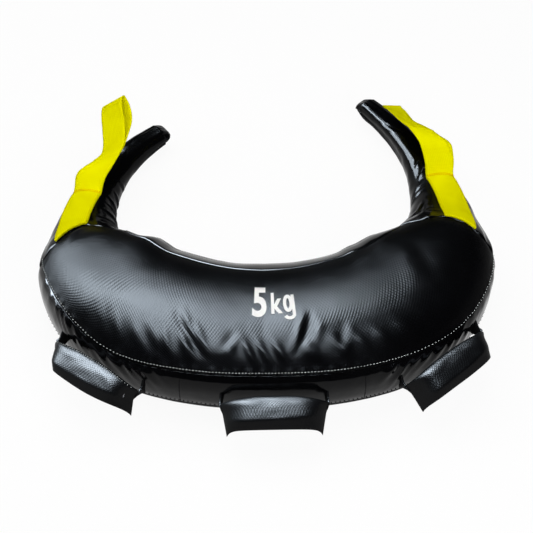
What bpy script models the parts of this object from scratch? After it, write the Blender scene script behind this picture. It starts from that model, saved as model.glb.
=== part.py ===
"""Crescent training bag of stuffed vinyl, lying flat: belly towards -Y, horns towards +Y.

Metres, +Z up. The origin is on the floor under the middle of the belly. Left and right are
the viewer's, so left is -X. Distances along the bag run from the middle of the belly, and
are negative on the left. Section angles run from 0 on the outer side through 90 on top.
"""
import math

import bmesh
import bpy
from mathutils import Vector

# Plan of the crescent: arcs, then a straight run, out to each horn tip
BELLY_RADIUS = 0.355
BELLY_TURN = 22.5
FLANK_RADIUS = 0.150
FLANK_TURN = 54.0
LEFT_HORN_RADIUS = 0.240
LEFT_HORN_TURN = 62.0
LEFT_TIP_RUN_LENGTH = 0.004
RIGHT_HORN_RADIUS = 0.315
RIGHT_HORN_TURN = 53.0
RIGHT_TIP_RUN_LENGTH = 0.022

# Stuffed section: its size at each share of the way to a tip, as shares of the belly's
BELLY_HALF_WIDTH = 0.0925
WIDTH_SHARES = ((0.0, 1.0), (0.24, 1.04), (0.46, 0.76), (0.58, 0.49), (0.78, 0.27), (1.0, 0.16))
HEIGHT_SHARES = ((0.0, 0.675), (0.24, 0.705), (0.46, 0.66), (0.58, 0.45), (0.78, 0.255), (1.0, 0.155))
SINK_SHARE = 0.06
TOP_CURVE = 2.15
UNDERSIDE_CURVE = 2.6
HORN_LIFT_HEIGHT = 0.014
LIFT_START_SHARE = 0.45

# Skin and its seams, as section angles and as distances along the bag
VINYL_THICKNESS = 0.0012
SEAM_GAP = 0.0006
WADDING_GAP = 0.0014
OUTER_SEAM_ANGLE = 27.0
LOWER_SEAM_ANGLE = -22.0
INNER_SEAM_ANGLE = 136.0
UNDER_SEAM_ANGLE = 224.0
LEFT_BELLY_LENGTH = 0.269
RIGHT_BELLY_LENGTH = 0.282

# Gathered end of each horn
TIP_LENGTH = 0.014
LIP_HALF_WIDTH = 0.0135
LIP_HALF_THICKNESS = 0.0022
LIP_CURVE = 0.6

# Sand sack in the middle of the wadding
SACK_HALF_LENGTH = 0.190
SACK_HALF_WIDTH = 0.055
SACK_HALF_HEIGHT = 0.036
SACK_GAP = 0.0010
SACK_CURVE = 4

# Webbing straps: a lap sewn along each horn and a free loop beyond the cross stitch
STRAP_WIDTH = 0.040
WEBBING_THICKNESS = 0.0015
STRAP_GAP = 0.0009
STRAP_BASE_ANGLE = 74.0
STRAP_CROSS_ANGLE = 80.0
LEFT_LAP_LENGTH = 0.119
RIGHT_LAP_LENGTH = 0.134
LOOP_LENGTH = 0.150
LOOP_EYE_HEIGHT = 0.018
LOOP_ROOT_GAP = 0.0008
LOOP_ROOT_HEIGHT = 0.0038
LOOP_TURN_GAP = 0.0010
# Share of the loop's length, then sideways, backward and upward shares, then yaw and roll
LEFT_LOOP_SHARES = (
    (0.0, 0.0, 0.0, 0.0, -10.0, 10.0),
    (0.15, 0.02, 0.11, 0.08, -8.0, 10.0),
    (0.38, 0.20, 0.27, 0.17, 4.0, 19.0),
    (0.68, 0.22, 0.53, 0.21, 6.0, 23.0),
    (0.88, 0.21, 0.71, 0.225, 5.0, 24.0),
    (1.0, 0.20, 0.82, 0.225, 3.0, 24.0),
)
RIGHT_LOOP_SHARES = (
    (0.0, 0.0, 0.0, 0.0, 10.0, -10.0),
    (0.15, -0.04, 0.06, 0.14, 10.0, -12.0),
    (0.28, -0.10, 0.12, 0.23, 8.0, -14.0),
    (0.43, -0.23, 0.22, 0.28, 8.0, -16.0),
    (0.70, -0.375, 0.45, 0.22, 16.0, -19.0),
    (1.0, -0.42, 0.73, 0.06, 34.0, -26.0),
)
BACK_LEG_OFFSET = 0.004
EYE_CURVE = 0.8

# Padded grips sewn along the outer gusset
GRIP_LENGTH = 0.118
LEFT_GRIP_DISTANCE = -0.157
CENTRE_GRIP_DISTANCE = 0.010
RIGHT_GRIP_DISTANCE = 0.177
GRIP_LEAN_ANGLE = 22.0
GRIP_HALF_HEIGHT = 0.0220
GRIP_HALF_THICKNESS = 0.0150
GRIP_END_HALF_THICKNESS = 0.0020
GRIP_END_HEIGHT = 0.035
GRIP_MIDDLE_HEIGHT = 0.065
GRIP_END_REACH_LENGTH = 0.0140
CENTRE_GRIP_REACH_LENGTH = 0.0280
SIDE_GRIP_REACH_LENGTH = 0.0310
EAR_LENGTH = 0.003
EAR_CURVE = 6
FILL_CURVE = 4
FILL_END_CURVE = 0.6
FOAM_GAP = 0.0015
FOAM_LENGTH_SHARE = 0.86
GRIP_AXIS_HEIGHT = 0.053
GRIP_AXIS_REACH_LENGTH = 0.0040
TAB_LENGTH = 0.009
TAB_START_DISTANCE = 0.0575
TAB_TOP_ANGLE = 4.0
TAB_BOTTOM_ANGLE = -7.0
TAB_THICKNESS = 0.0042
TAB_GAP = 0.0005

BENDS = {
    "left": ((BELLY_RADIUS, BELLY_TURN), (FLANK_RADIUS, FLANK_TURN), (LEFT_HORN_RADIUS, LEFT_HORN_TURN)),
    "right": ((BELLY_RADIUS, BELLY_TURN), (FLANK_RADIUS, FLANK_TURN), (RIGHT_HORN_RADIUS, RIGHT_HORN_TURN)),
}
TIP_RUN_LENGTHS = {"left": LEFT_TIP_RUN_LENGTH, "right": RIGHT_TIP_RUN_LENGTH}
REACHES = {
    side: TIP_RUN_LENGTHS[side] + sum(radius * math.radians(turn) for radius, turn in bends)
    for side, bends in BENDS.items()
}
SIGNS = {"left": -1.0, "right": 1.0}


def side_of(distance):
    return "left" if distance < 0 else "right"


def spine(distance):
    """Plan point of the bag's centre line and its outward direction, at this distance."""
    side = side_of(distance)
    left_over = abs(distance)
    x = 0.0
    y = 0.0
    turned = 0.0
    for radius, turn in BENDS[side]:
        run = min(left_over, radius * math.radians(turn))
        bend = run / radius
        x += radius * (math.sin(turned + bend) - math.sin(turned))
        y += radius * (math.cos(turned) - math.cos(turned + bend))
        turned += bend
        left_over -= run
    x += left_over * math.cos(turned)
    y += left_over * math.sin(turned)
    point = Vector((SIGNS[side] * x, y, 0.0))
    outward = Vector((SIGNS[side] * math.sin(turned), -math.cos(turned), 0.0))
    return point, outward


def smooth(table, place, column=1):
    """Value of a table's column at this place, along a curve through its rows."""
    rows = [(row[0], row[column]) for row in table]
    place = min(max(place, rows[0][0]), rows[-1][0])
    index = max(i for i in range(len(rows) - 1) if rows[i][0] <= place)
    slopes = []
    for i in (index, index + 1):
        before = rows[max(i - 1, 0)]
        after = rows[min(i + 1, len(rows) - 1)]
        slopes.append((after[1] - before[1]) / (after[0] - before[0]))
    start = rows[index]
    end = rows[index + 1]
    span = end[0] - start[0]
    t = (place - start[0]) / span
    return (
        (2 * t ** 3 - 3 * t ** 2 + 1) * start[1]
        + (t ** 3 - 2 * t ** 2 + t) * span * slopes[0]
        + (3 * t ** 2 - 2 * t ** 3) * end[1]
        + (t ** 3 - t ** 2) * span * slopes[1]
    )


def half_sizes(distance):
    """Half width, half height and middle height of the stuffed section."""
    share = abs(distance) / REACHES[side_of(distance)]
    half_width = BELLY_HALF_WIDTH * smooth(WIDTH_SHARES, share)
    half_height = BELLY_HALF_WIDTH * smooth(HEIGHT_SHARES, share)
    lifted = min(max((share - LIFT_START_SHARE) / (1.0 - LIFT_START_SHARE), 0.0), 1.0)
    middle = half_height * (1.0 - SINK_SHARE) + HORN_LIFT_HEIGHT * lifted ** 2
    return half_width, half_height, middle


def skin_point(distance, angle, inset=0.0):
    """Point on the bag's skin, or this far inside it."""
    point, outward = spine(distance)
    half_width, half_height, middle = half_sizes(distance)
    across = math.cos(math.radians(angle))
    up = math.sin(math.radians(angle))
    power = 2.0 / (TOP_CURVE if up > 0 else UNDERSIDE_CURVE)
    reach = (half_width - inset) * math.copysign(abs(across) ** power, across)
    rise = (half_height - inset) * math.copysign(abs(up) ** power, up)
    return point + outward * reach + Vector((0.0, 0.0, max(middle + rise, inset)))


def spread(start, end, count):
    """This many equal steps from start to end, both ends included."""
    return [start + (end - start) * i / count for i in range(count + 1)]


def finish(name, colour, roughness):
    """A plain coated or woven surface of one colour."""
    made = bpy.data.materials.new(name)
    made.use_nodes = True
    shader = made.node_tree.nodes["Principled BSDF"]
    shader.inputs["Base Color"].default_value = (*colour, 1.0)
    shader.inputs["Roughness"].default_value = roughness
    shader.inputs["Metallic"].default_value = 0.0
    made.diffuse_color = (*colour, 1.0)
    return made


def piece(
    name, rows, material, pivot=None, round_rows=False, round_columns=False, capped=False, thickness=0.0
):
    """One piece from rows of points: a loft closed as asked, or a sheet given a thickness."""
    pivot = pivot or Vector((0.0, 0.0, 0.0))
    mesh = bpy.data.meshes.new(name)
    shape = bmesh.new()
    grid = [[shape.verts.new(point - pivot) for point in row] for row in rows]
    rows_left = len(grid) if round_rows else len(grid) - 1
    columns_left = len(grid[0]) if round_columns else len(grid[0]) - 1
    for i in range(rows_left):
        near = grid[i]
        far = grid[(i + 1) % len(grid)]
        for j in range(columns_left):
            k = (j + 1) % len(near)
            shape.faces.new((near[j], far[j], far[k], near[k]))
    if capped:
        shape.faces.new(list(reversed(grid[0])))
        shape.faces.new(grid[-1])
    if round_columns and (capped or round_rows):
        bmesh.ops.recalc_face_normals(shape, faces=shape.faces)
    for face in shape.faces:
        face.smooth = True
    shape.to_mesh(mesh)
    shape.free()
    made = bpy.data.objects.new(name, mesh)
    made.location = pivot
    made.data.materials.append(material)
    bag.objects.link(made)
    if thickness:
        wall = made.modifiers.new("wall", "SOLIDIFY")
        wall.thickness = abs(thickness)
        wall.offset = math.copysign(1.0, thickness)
    return made


for old in list(bpy.data.objects):
    bpy.data.objects.remove(old, do_unlink=True)
bag = bpy.data.collections.new("crescent_training_bag")
bpy.context.scene.collection.children.link(bag)

coated = finish("coated_vinyl", (0.012, 0.013, 0.015), 0.38)
gloss = finish("gloss_vinyl", (0.008, 0.009, 0.011), 0.24)
grip_vinyl = finish("grip_vinyl", (0.014, 0.015, 0.017), 0.42)
web = finish("yellow_webbing", (0.86, 0.76, 0.0), 0.75)
wool = finish("wool_wadding", (0.48, 0.44, 0.37), 0.95)
sacking = finish("sack_cloth", (0.10, 0.11, 0.12), 0.85)
foam = finish("grey_foam", (0.05, 0.05, 0.055), 0.95)

# Four panels of the belly, each a sheet of vinyl between two long seams
half_gap = math.degrees(SEAM_GAP / BELLY_HALF_WIDTH)
belly = spread(SEAM_GAP - LEFT_BELLY_LENGTH, RIGHT_BELLY_LENGTH - SEAM_GAP, 28)
PANELS = (
    ("front_panel", OUTER_SEAM_ANGLE, INNER_SEAM_ANGLE, 10, coated),
    ("inner_gusset", INNER_SEAM_ANGLE, UNDER_SEAM_ANGLE, 7, gloss),
    ("back_panel", UNDER_SEAM_ANGLE, LOWER_SEAM_ANGLE + 360.0, 11, coated),
    ("outer_gusset", LOWER_SEAM_ANGLE, OUTER_SEAM_ANGLE, 5, gloss),
)
for name, start, end, count, vinyl in PANELS:
    angles = spread(start + half_gap, end - half_gap, count)
    rows = [[skin_point(distance, angle) for angle in angles] for distance in belly]
    piece(name, rows, vinyl, thickness=-VINYL_THICKNESS)

# Wool wadding of the belly, in two halves around the sand sack
core = VINYL_THICKNESS + WADDING_GAP
wadding_places = spread(core - LEFT_BELLY_LENGTH, RIGHT_BELLY_LENGTH - core, 20)


def sack_ring(distance, gap, start, end, count):
    """Part of the sack's section: full in the middle, closing towards its ends."""
    point, outward = spine(distance)
    middle = half_sizes(distance)[2]
    left = max(1.0 - (distance / (SACK_HALF_LENGTH + gap)) ** SACK_CURVE, 0.0) ** 0.5
    ring = []
    for angle in spread(math.radians(start), math.radians(end), count):
        reach = (SACK_HALF_WIDTH + gap) * left * math.cos(angle)
        rise = (SACK_HALF_HEIGHT + gap) * left * math.sin(angle)
        ring.append(point + outward * reach + Vector((0.0, 0.0, middle + rise)))
    return ring


def half_wadding(name, way):
    """The upper half of the wadding, or with -1 the lower half, with its hollow for the sack."""
    rows = []
    for distance in wadding_places:
        middle = half_sizes(distance)[2]
        row = [skin_point(distance, way * angle, core) for angle in spread(0.0, 180.0, 12)]
        row += sack_ring(distance, SACK_GAP, 180.0, 180.0 - way * 180.0, 8)
        for point in row:
            far_enough = max(way * (point.z - middle), SACK_GAP / 2)
            point.z = middle + way * far_enough
        rows.append(row)
    piece(name, rows, wool, round_columns=True, capped=True)


half_wadding("upper_wadding", 1.0)
half_wadding("lower_wadding", -1.0)
sack_places = [distance for distance in wadding_places if abs(distance) < SACK_HALF_LENGTH]
sack_rows = [sack_ring(distance, 0.0, 0.0, 360.0, 16)[:-1] for distance in sack_places]
piece("sand_sack", sack_rows, sacking, round_columns=True, capped=True)

# Horns: sleeve, wadding and the gathered end
turns = spread(0.0, 360.0, 24)[:-1]
BELLY_LENGTHS = {"left": LEFT_BELLY_LENGTH, "right": RIGHT_BELLY_LENGTH}
for side, sign in SIGNS.items():
    base = BELLY_LENGTHS[side]
    reach = REACHES[side]
    places = [sign * distance for distance in spread(base + SEAM_GAP, reach, 14)]
    rows = [[skin_point(distance, angle) for angle in turns[::int(sign)]] for distance in places]
    piece(side + "_horn_sleeve", rows, gloss, round_columns=True, thickness=-VINYL_THICKNESS)
    places = [sign * distance for distance in spread(base + core, reach - core, 14)]
    rows = [[skin_point(distance, angle, core) for angle in turns[::2]] for distance in places]
    piece(side + "_horn_wadding", rows, wool, round_columns=True, capped=True)
    rows = []
    half_width, half_height, middle = half_sizes(sign * reach)
    for step in spread(0.0, 1.0, 4):
        point, outward = spine(sign * (reach + SEAM_GAP + TIP_LENGTH * step))
        wide = half_width + (LIP_HALF_WIDTH - half_width) * step
        thick = half_height + (LIP_HALF_THICKNESS - half_height) * step ** LIP_CURVE
        row = []
        for angle in turns[::2]:
            up = Vector((0.0, 0.0, middle + thick * math.sin(math.radians(angle))))
            row.append(point + outward * wide * math.cos(math.radians(angle)) + up)
        rows.append(row)
    piece(side + "_horn_tip", rows, gloss, round_columns=True, capped=True)

# Straps: a lap of doubled webbing on each horn, and the loop that turns at its cross stitch
LOOPS = {
    "left": (LEFT_BELLY_LENGTH + LEFT_LAP_LENGTH, LEFT_LOOP_SHARES),
    "right": (RIGHT_BELLY_LENGTH + RIGHT_LAP_LENGTH, RIGHT_LOOP_SHARES),
}


def on_skin(distance, shift, lift):
    """Point this far sideways from the strap's line, measured over the skin, and this far above it."""
    side = side_of(distance)
    share = (abs(distance) - BELLY_LENGTHS[side]) / (LOOPS[side][0] - BELLY_LENGTHS[side])
    angle = STRAP_BASE_ANGLE + (STRAP_CROSS_ANGLE - STRAP_BASE_ANGLE) * share
    point = skin_point(distance, angle, -lift)
    step = math.copysign(1.0, shift)
    walked = 0.0
    while walked < abs(shift):
        angle -= step
        after = skin_point(distance, angle, -lift)
        run = (after - point).length
        if walked + run > abs(shift):
            return point.lerp(after, (abs(shift) - walked) / run)
        walked += run
        point = after
    return point


STRAP_THICKNESS = WEBBING_THICKNESS * 2
strap_pivots = {}
for side, (cross, stations) in LOOPS.items():
    sign = SIGNS[side]
    base = BELLY_LENGTHS[side]
    rows = []
    for distance in spread(base + SEAM_GAP, cross - LOOP_TURN_GAP, 8):
        shifts = spread(sign * STRAP_WIDTH / 2, -sign * STRAP_WIDTH / 2, 5)
        rows.append([on_skin(sign * distance, shift, STRAP_GAP) for shift in shifts])
    piece(side + "_strap_lap", rows, web, thickness=STRAP_THICKNESS)
    root = on_skin(sign * cross, 0.0, STRAP_GAP + STRAP_THICKNESS / 2 + LOOP_ROOT_HEIGHT)
    strap_pivots[side] = root
    places = spread(0.0, 1.0, 12)
    centres = []
    for place in places:
        offset = [smooth(stations, place, column) * LOOP_LENGTH for column in (1, 2, 3)]
        centres.append(root + Vector(offset))
    front = []
    back = []
    for i, place in enumerate(places):
        along = (centres[min(i + 1, len(centres) - 1)] - centres[max(i - 1, 0)]).normalized()
        yaw = math.radians(smooth(stations, place, 4))
        roll = math.radians(smooth(stations, place, 5))
        width = Vector((math.cos(yaw) * math.cos(roll), math.sin(yaw) * math.cos(roll), math.sin(roll)))
        face = width.cross(along).normalized()
        bulge = math.sin(math.pi * place ** EYE_CURVE)
        half_eye = LOOP_ROOT_GAP / 2 + LOOP_EYE_HEIGHT / 2 * bulge
        slip = width * BACK_LEG_OFFSET * bulge
        across = [width * shift for shift in spread(STRAP_WIDTH / 2, -STRAP_WIDTH / 2, 3)]
        front.append([centres[i] + face * half_eye + shift for shift in across])
        back.append([centres[i] - face * half_eye + slip + shift for shift in across])
    rows = front + back[::-1]
    piece(side + "_strap_loop", rows, web, pivot=root, round_rows=True, thickness=WEBBING_THICKNESS)

# Grips: a vinyl sleeve flattened at its ends, its foam core, and the tabs that hold it
lean = math.radians(GRIP_LEAN_ANGLE)


def beyond(place, length):
    """Distance along the bag where its outer side is this far, in a straight line, from a place."""
    start = skin_point(place, 0.0)
    near = place
    far = place + length
    for _ in range(30):
        middle = (near + far) / 2
        if (skin_point(middle, 0.0) - start).length < abs(length):
            near = middle
        else:
            far = middle
    return near


def grip_ring(frame, share, reach, shrink, count):
    """Section of a grip at this share of its half length, drawn in by shrink."""
    middle, along, outward = frame
    swell = 1.0 - share ** 2
    fill = max(1.0 - share ** FILL_CURVE, 0.0) ** FILL_END_CURVE
    half_thickness = GRIP_END_HALF_THICKNESS + (GRIP_HALF_THICKNESS - GRIP_END_HALF_THICKNESS) * fill
    centre = middle + along * (share * GRIP_LENGTH / 2)
    centre = centre + outward * (GRIP_END_REACH_LENGTH + (reach - GRIP_END_REACH_LENGTH) * swell)
    centre.z = GRIP_END_HEIGHT + (GRIP_MIDDLE_HEIGHT - GRIP_END_HEIGHT) * swell
    upward = Vector((0.0, 0.0, math.cos(lean))) - outward * math.sin(lean)
    facing = Vector((0.0, 0.0, math.sin(lean))) + outward * math.cos(lean)
    ring = []
    for angle in spread(0.0, 2 * math.pi, count)[:-1]:
        ear = EAR_LENGTH * share ** EAR_CURVE if math.sin(angle) < 0 else 0.0
        tall = (GRIP_HALF_HEIGHT + ear - shrink) * math.sin(angle)
        deep = (half_thickness - shrink) * math.cos(angle)
        ring.append(centre + upward * tall + facing * deep)
    return ring


GRIPS = (
    ("left", LEFT_GRIP_DISTANCE, SIDE_GRIP_REACH_LENGTH),
    ("centre", CENTRE_GRIP_DISTANCE, CENTRE_GRIP_REACH_LENGTH),
    ("right", RIGHT_GRIP_DISTANCE, SIDE_GRIP_REACH_LENGTH),
)
for side, place, reach in GRIPS:
    ends = [skin_point(beyond(place, way * GRIP_LENGTH / 2), 0.0) for way in (-1, 1)]
    along = ends[1] - ends[0]
    along.z = 0.0
    along.normalize()
    outward = Vector((along.y, -along.x, 0.0))
    middle = (ends[0] + ends[1]) / 2
    middle.z = 0.0
    frame = (middle, along, outward)
    pivot = middle + outward * GRIP_AXIS_REACH_LENGTH + Vector((0.0, 0.0, GRIP_AXIS_HEIGHT))
    shares = spread(-1.0, 1.0, 12)
    rows = [grip_ring(frame, share, reach, 0.0, 16) for share in shares]
    rows += [grip_ring(frame, share, reach, VINYL_THICKNESS, 16) for share in shares[::-1]]
    piece(side + "_grip_cover", rows, grip_vinyl, pivot=pivot, round_rows=True, round_columns=True)
    shares = spread(-FOAM_LENGTH_SHARE, FOAM_LENGTH_SHARE, 10)
    rows = [grip_ring(frame, share, reach, VINYL_THICKNESS + FOAM_GAP, 14) for share in shares]
    piece(side + "_grip_foam", rows, foam, pivot=pivot, round_columns=True, capped=True)
    for end, way in (("left", -1), ("right", 1)):
        lengths = spread(TAB_START_DISTANCE, TAB_START_DISTANCE + TAB_LENGTH, 2)
        distances = [beyond(place, way * length) for length in lengths][::way]
        angles = spread(TAB_BOTTOM_ANGLE, TAB_TOP_ANGLE, 3)
        rows = [[skin_point(distance, angle, -TAB_GAP) for angle in angles] for distance in distances]
        piece(side + "_grip_" + end + "_tab", rows, grip_vinyl, thickness=TAB_THICKNESS)
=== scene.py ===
"""Crescent training bag of stuffed black vinyl, lying flat on a white floor.

Metres, +Z up. The belly lies towards -Y and the horns towards +Y. Left and right are the
viewer's. Distances run along the bag from the middle of the belly and are negative on the
left. Section angles run from 0 on the outer side through 90 on top to 180 on the inner side.
"""
import math

import bmesh
import bpy
from mathutils import Matrix, Vector, noise


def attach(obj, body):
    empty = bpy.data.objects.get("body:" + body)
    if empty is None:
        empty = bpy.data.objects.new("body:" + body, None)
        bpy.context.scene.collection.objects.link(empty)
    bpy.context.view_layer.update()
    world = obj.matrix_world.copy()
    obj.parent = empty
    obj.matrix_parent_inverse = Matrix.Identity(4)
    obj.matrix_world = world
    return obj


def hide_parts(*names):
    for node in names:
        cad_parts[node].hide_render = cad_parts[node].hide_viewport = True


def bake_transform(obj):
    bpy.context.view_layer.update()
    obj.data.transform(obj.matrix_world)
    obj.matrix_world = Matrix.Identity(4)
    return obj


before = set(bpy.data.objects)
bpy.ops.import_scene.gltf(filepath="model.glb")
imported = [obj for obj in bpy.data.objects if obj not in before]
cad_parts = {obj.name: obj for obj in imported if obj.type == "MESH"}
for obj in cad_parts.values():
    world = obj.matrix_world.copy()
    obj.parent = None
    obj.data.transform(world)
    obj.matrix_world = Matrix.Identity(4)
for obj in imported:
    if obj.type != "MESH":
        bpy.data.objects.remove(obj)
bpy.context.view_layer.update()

# Camera: a long lens 1.8 m from the bag and 50 degrees above the floor, as in the photograph.
# The shift only sets the bag at the photograph's height in the frame.
AIM = Vector((0.0036, 0.1405, 0.05))
CAMERA_ELEVATION = math.radians(50.0)
CAMERA_DISTANCE = 1.8
PIXELS_PER_METRE = 781.7
AIM_ABOVE_CENTRE = 16.5
FRAME_PIXELS = 533.0

lens = bpy.data.cameras.new("photo_lens")
lens.sensor_width = 36.0
lens.lens = lens.sensor_width * PIXELS_PER_METRE * CAMERA_DISTANCE / FRAME_PIXELS
lens.shift_y = -AIM_ABOVE_CENTRE / FRAME_PIXELS
camera = bpy.data.objects.new("photo_camera", lens)
back = Vector((0.0, -math.cos(CAMERA_ELEVATION), math.sin(CAMERA_ELEVATION)))
camera.location = AIM + back * CAMERA_DISTANCE
camera.rotation_euler = (math.pi / 2 - CAMERA_ELEVATION, 0.0, 0.0)
bpy.context.scene.collection.objects.link(camera)
bpy.context.scene.camera = camera
bpy.context.scene.view_settings.view_transform = "Standard"


def add(tree, kind, inputs=(), **settings):
    """One shader node: its settings, then its inputs, each a value or another node's output."""
    made = tree.nodes.new("ShaderNode" + kind)
    for name, value in settings.items():
        setattr(made, name, value)
    for key, value in dict(inputs).items():
        if isinstance(value, bpy.types.NodeSocket):
            tree.links.new(value, made.inputs[key])
        else:
            made.inputs[key].default_value = value
    return made


def colour(code):
    """Linear colour of an sRGB hex code."""
    shares = [int(code[i:i + 2], 16) / 255 for i in (0, 2, 4)]
    return tuple(c / 12.92 if c <= 0.04045 else ((c + 0.055) / 1.055) ** 2.4 for c in shares) + (1.0,)


# Studio: a wide white paper floor under soft boxes above, behind and to the left of the bag.
# Some boxes light matt surfaces alone, at the level where a colour shows as it is written, and
# the others show only in the vinyl's gloss. The rest of the room is dim, so the vinyl stays black.
FLOOR_HALF_SIZE = 30.0
FLOOR_DROP = 0.0006
PAPER_SELF_SHARE = 0.93
BOX_AIM = Vector((0.0, 0.05, 0.08))
ROOM_LEVEL = 0.03

# Uncoated paper is flat and matt. It shows nearly white to the camera and in the vinyl's gloss,
# and keeps a soft shadow.
paper = bpy.data.materials.new("white_background_paper")
paper.use_nodes = True
tree = paper.node_tree
tree.nodes.clear()
path = add(tree, "LightPath")
direct = {0: path.outputs["Is Camera Ray"], 1: path.outputs["Is Glossy Ray"]}
seen = add(tree, "Math", direct, operation="MAXIMUM")
seen = add(tree, "Math", {0: seen.outputs[0], 1: path.outputs["Is Transmission Ray"]}, operation="MAXIMUM")
share = add(tree, "Math", {0: seen.outputs[0], 1: PAPER_SELF_SHARE}, operation="MULTIPLY")
lit = add(tree, "BsdfDiffuse", {"Color": colour("F2F2F2")})
white = add(tree, "Emission", {"Color": colour("FFFFFF"), "Strength": 1.0})
both = add(tree, "MixShader", {0: share.outputs[0], 1: lit.outputs[0], 2: white.outputs[0]})
add(tree, "OutputMaterial", {"Surface": both.outputs[0]})

sheet = bmesh.new()
bmesh.ops.create_grid(sheet, x_segments=2, y_segments=2, size=FLOOR_HALF_SIZE)
bmesh.ops.translate(sheet, verts=sheet.verts, vec=(0.0, 0.0, -FLOOR_DROP))
floor_mesh = bpy.data.meshes.new("paper_floor")
sheet.to_mesh(floor_mesh)
sheet.free()
floor_mesh.materials.append(paper)
paper_floor = bpy.data.objects.new("paper_floor", floor_mesh)
bpy.context.scene.collection.objects.link(paper_floor)

# Each box: name, place, width, height, radiance in watts per square metre and steradian, and
# what it lights: matt surfaces or the vinyl's gloss
SOFT_BOXES = (
    ("top_box", (-0.20, 0.40, 1.70), 1.7, 1.7, 2.4, "matt"),
    ("gloss_main", (-0.36, 0.54, 1.62), 1.10, 0.92, 135.0, "gloss"),
    ("gloss_near", (-0.26, -0.26, 1.62), 1.00, 0.56, 75.0, "gloss"),
    ("gloss_left", (-1.35, 0.50, 1.50), 0.80, 0.80, 100.0, "gloss"),
    ("gloss_far", (-1.30, 1.42, 1.50), 1.90, 0.66, 64.0, "gloss"),
    ("gloss_side", (-2.00, 1.30, 0.80), 1.80, 1.40, 62.0, "gloss"),
    ("left_box", (-1.50, 0.00, 1.30), 1.3, 0.9, 2.2, "matt"),
    ("front_fill", (1.00, -1.40, 1.20), 1.4, 1.4, 4.6, "matt"),
)
for name, place, width, height, radiance, lit in SOFT_BOXES:
    lamp = bpy.data.lights.new(name, "AREA")
    lamp.shape = "RECTANGLE"
    lamp.size = width
    lamp.size_y = height
    lamp.energy = radiance * math.pi * width * height
    if lit == "gloss":
        lamp.color = colour("E4F2FF")[:3]
    box = bpy.data.objects.new(name, lamp)
    box.location = place
    box.rotation_euler = (BOX_AIM - box.location).to_track_quat("-Z", "Y").to_euler()
    box.visible_diffuse = lit != "gloss"
    box.visible_glossy = lit != "matt"
    bpy.context.scene.collection.objects.link(box)
room = bpy.data.worlds.new("dim_room")
room.use_nodes = True
room.node_tree.nodes["Background"].inputs["Color"].default_value = colour("C8CCD2")
room.node_tree.nodes["Background"].inputs["Strength"].default_value = ROOM_LEVEL
bpy.context.scene.world = room

# Belly: four vinyl panels sewn into a stuffed tube. The front and back are PVC pressed with a
# fine slanting weave, the gussets smooth gloss PVC. Each panel's edges turn in at the seams.
# The bag's plan: arcs of radius and turn, the same out to each horn, then each horn's own
BELLY_ARCS = ((0.355, 22.5), (0.150, 54.0))
HORN_ARCS = {-1: (0.240, 62.0), 1: (0.315, 53.0)}
TIP_RUNS = {-1: 0.004, 1: 0.022}
HALF_WIDTH = 0.0925
WIDTH_SHARES = ((0.0, 1.0), (0.24, 1.04), (0.46, 0.76), (0.58, 0.49), (0.78, 0.27), (1.0, 0.16))
HEIGHT_SHARES = ((0.0, 0.675), (0.24, 0.705), (0.46, 0.66), (0.58, 0.45), (0.78, 0.255), (1.0, 0.155))
SINK_SHARE = 0.06
TOP_CURVE = 2.15
UNDERSIDE_CURVE = 2.6
HORN_LIFT = 0.014
LIFT_START_SHARE = 0.45
# About how far a degree of section angle goes over the skin, and how far a crease runs on past
# its two ends, as a share of its length
METRES_PER_DEGREE = 0.0015
CREASE_RUN_OUT = 0.1
REACHES = {}
for side in (-1, 1):
    arcs = BELLY_ARCS + (HORN_ARCS[side],)
    REACHES[side] = TIP_RUNS[side] + sum(radius * math.radians(turn) for radius, turn in arcs)
spines = {}
sizes = {}


def side_of(distance):
    """-1 on the left and 1 on the right."""
    return -1 if distance < 0 else 1


def between(pair, share):
    """Value this share of the way from the first of a pair to the second."""
    return pair[0] + (pair[1] - pair[0]) * share


def bell(place, middle, spread, power=2):
    """1 at the middle, falling off smoothly over this spread."""
    return math.exp(-((place - middle) / spread) ** power)


def from_outer(angle):
    """A section angle of 0 to 360, counted back below the outer side from 270 on."""
    return angle if angle < 270.0 else angle - 360.0


def spine(distance):
    """Plan point of the bag's centre line and its outward direction."""
    if distance not in spines:
        side = side_of(distance)
        left = abs(distance)
        x = y = turned = 0.0
        for radius, turn in BELLY_ARCS + (HORN_ARCS[side],):
            run = min(left, radius * math.radians(turn))
            x += radius * (math.sin(turned + run / radius) - math.sin(turned))
            y += radius * (math.cos(turned) - math.cos(turned + run / radius))
            turned += run / radius
            left -= run
        x += left * math.cos(turned)
        y += left * math.sin(turned)
        outward = Vector((side * math.sin(turned), -math.cos(turned), 0.0))
        spines[distance] = (Vector((side * x, y, 0.0)), outward)
    return spines[distance]


def smooth(rows, place, column=1):
    """Value of a table's column at this place, on a curve through its rows."""
    place = min(max(place, rows[0][0]), rows[-1][0])
    i = max(k for k in range(len(rows) - 1) if rows[k][0] <= place)
    slopes = []
    for k in (i, i + 1):
        before = rows[max(k - 1, 0)]
        after = rows[min(k + 1, len(rows) - 1)]
        slopes.append((after[column] - before[column]) / (after[0] - before[0]))
    span = rows[i + 1][0] - rows[i][0]
    t = (place - rows[i][0]) / span
    return (
        (2 * t ** 3 - 3 * t ** 2 + 1) * rows[i][column]
        + (t ** 3 - 2 * t ** 2 + t) * span * slopes[0]
        + (3 * t ** 2 - 2 * t ** 3) * rows[i + 1][column]
        + (t ** 3 - t ** 2) * span * slopes[1]
    )


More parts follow.
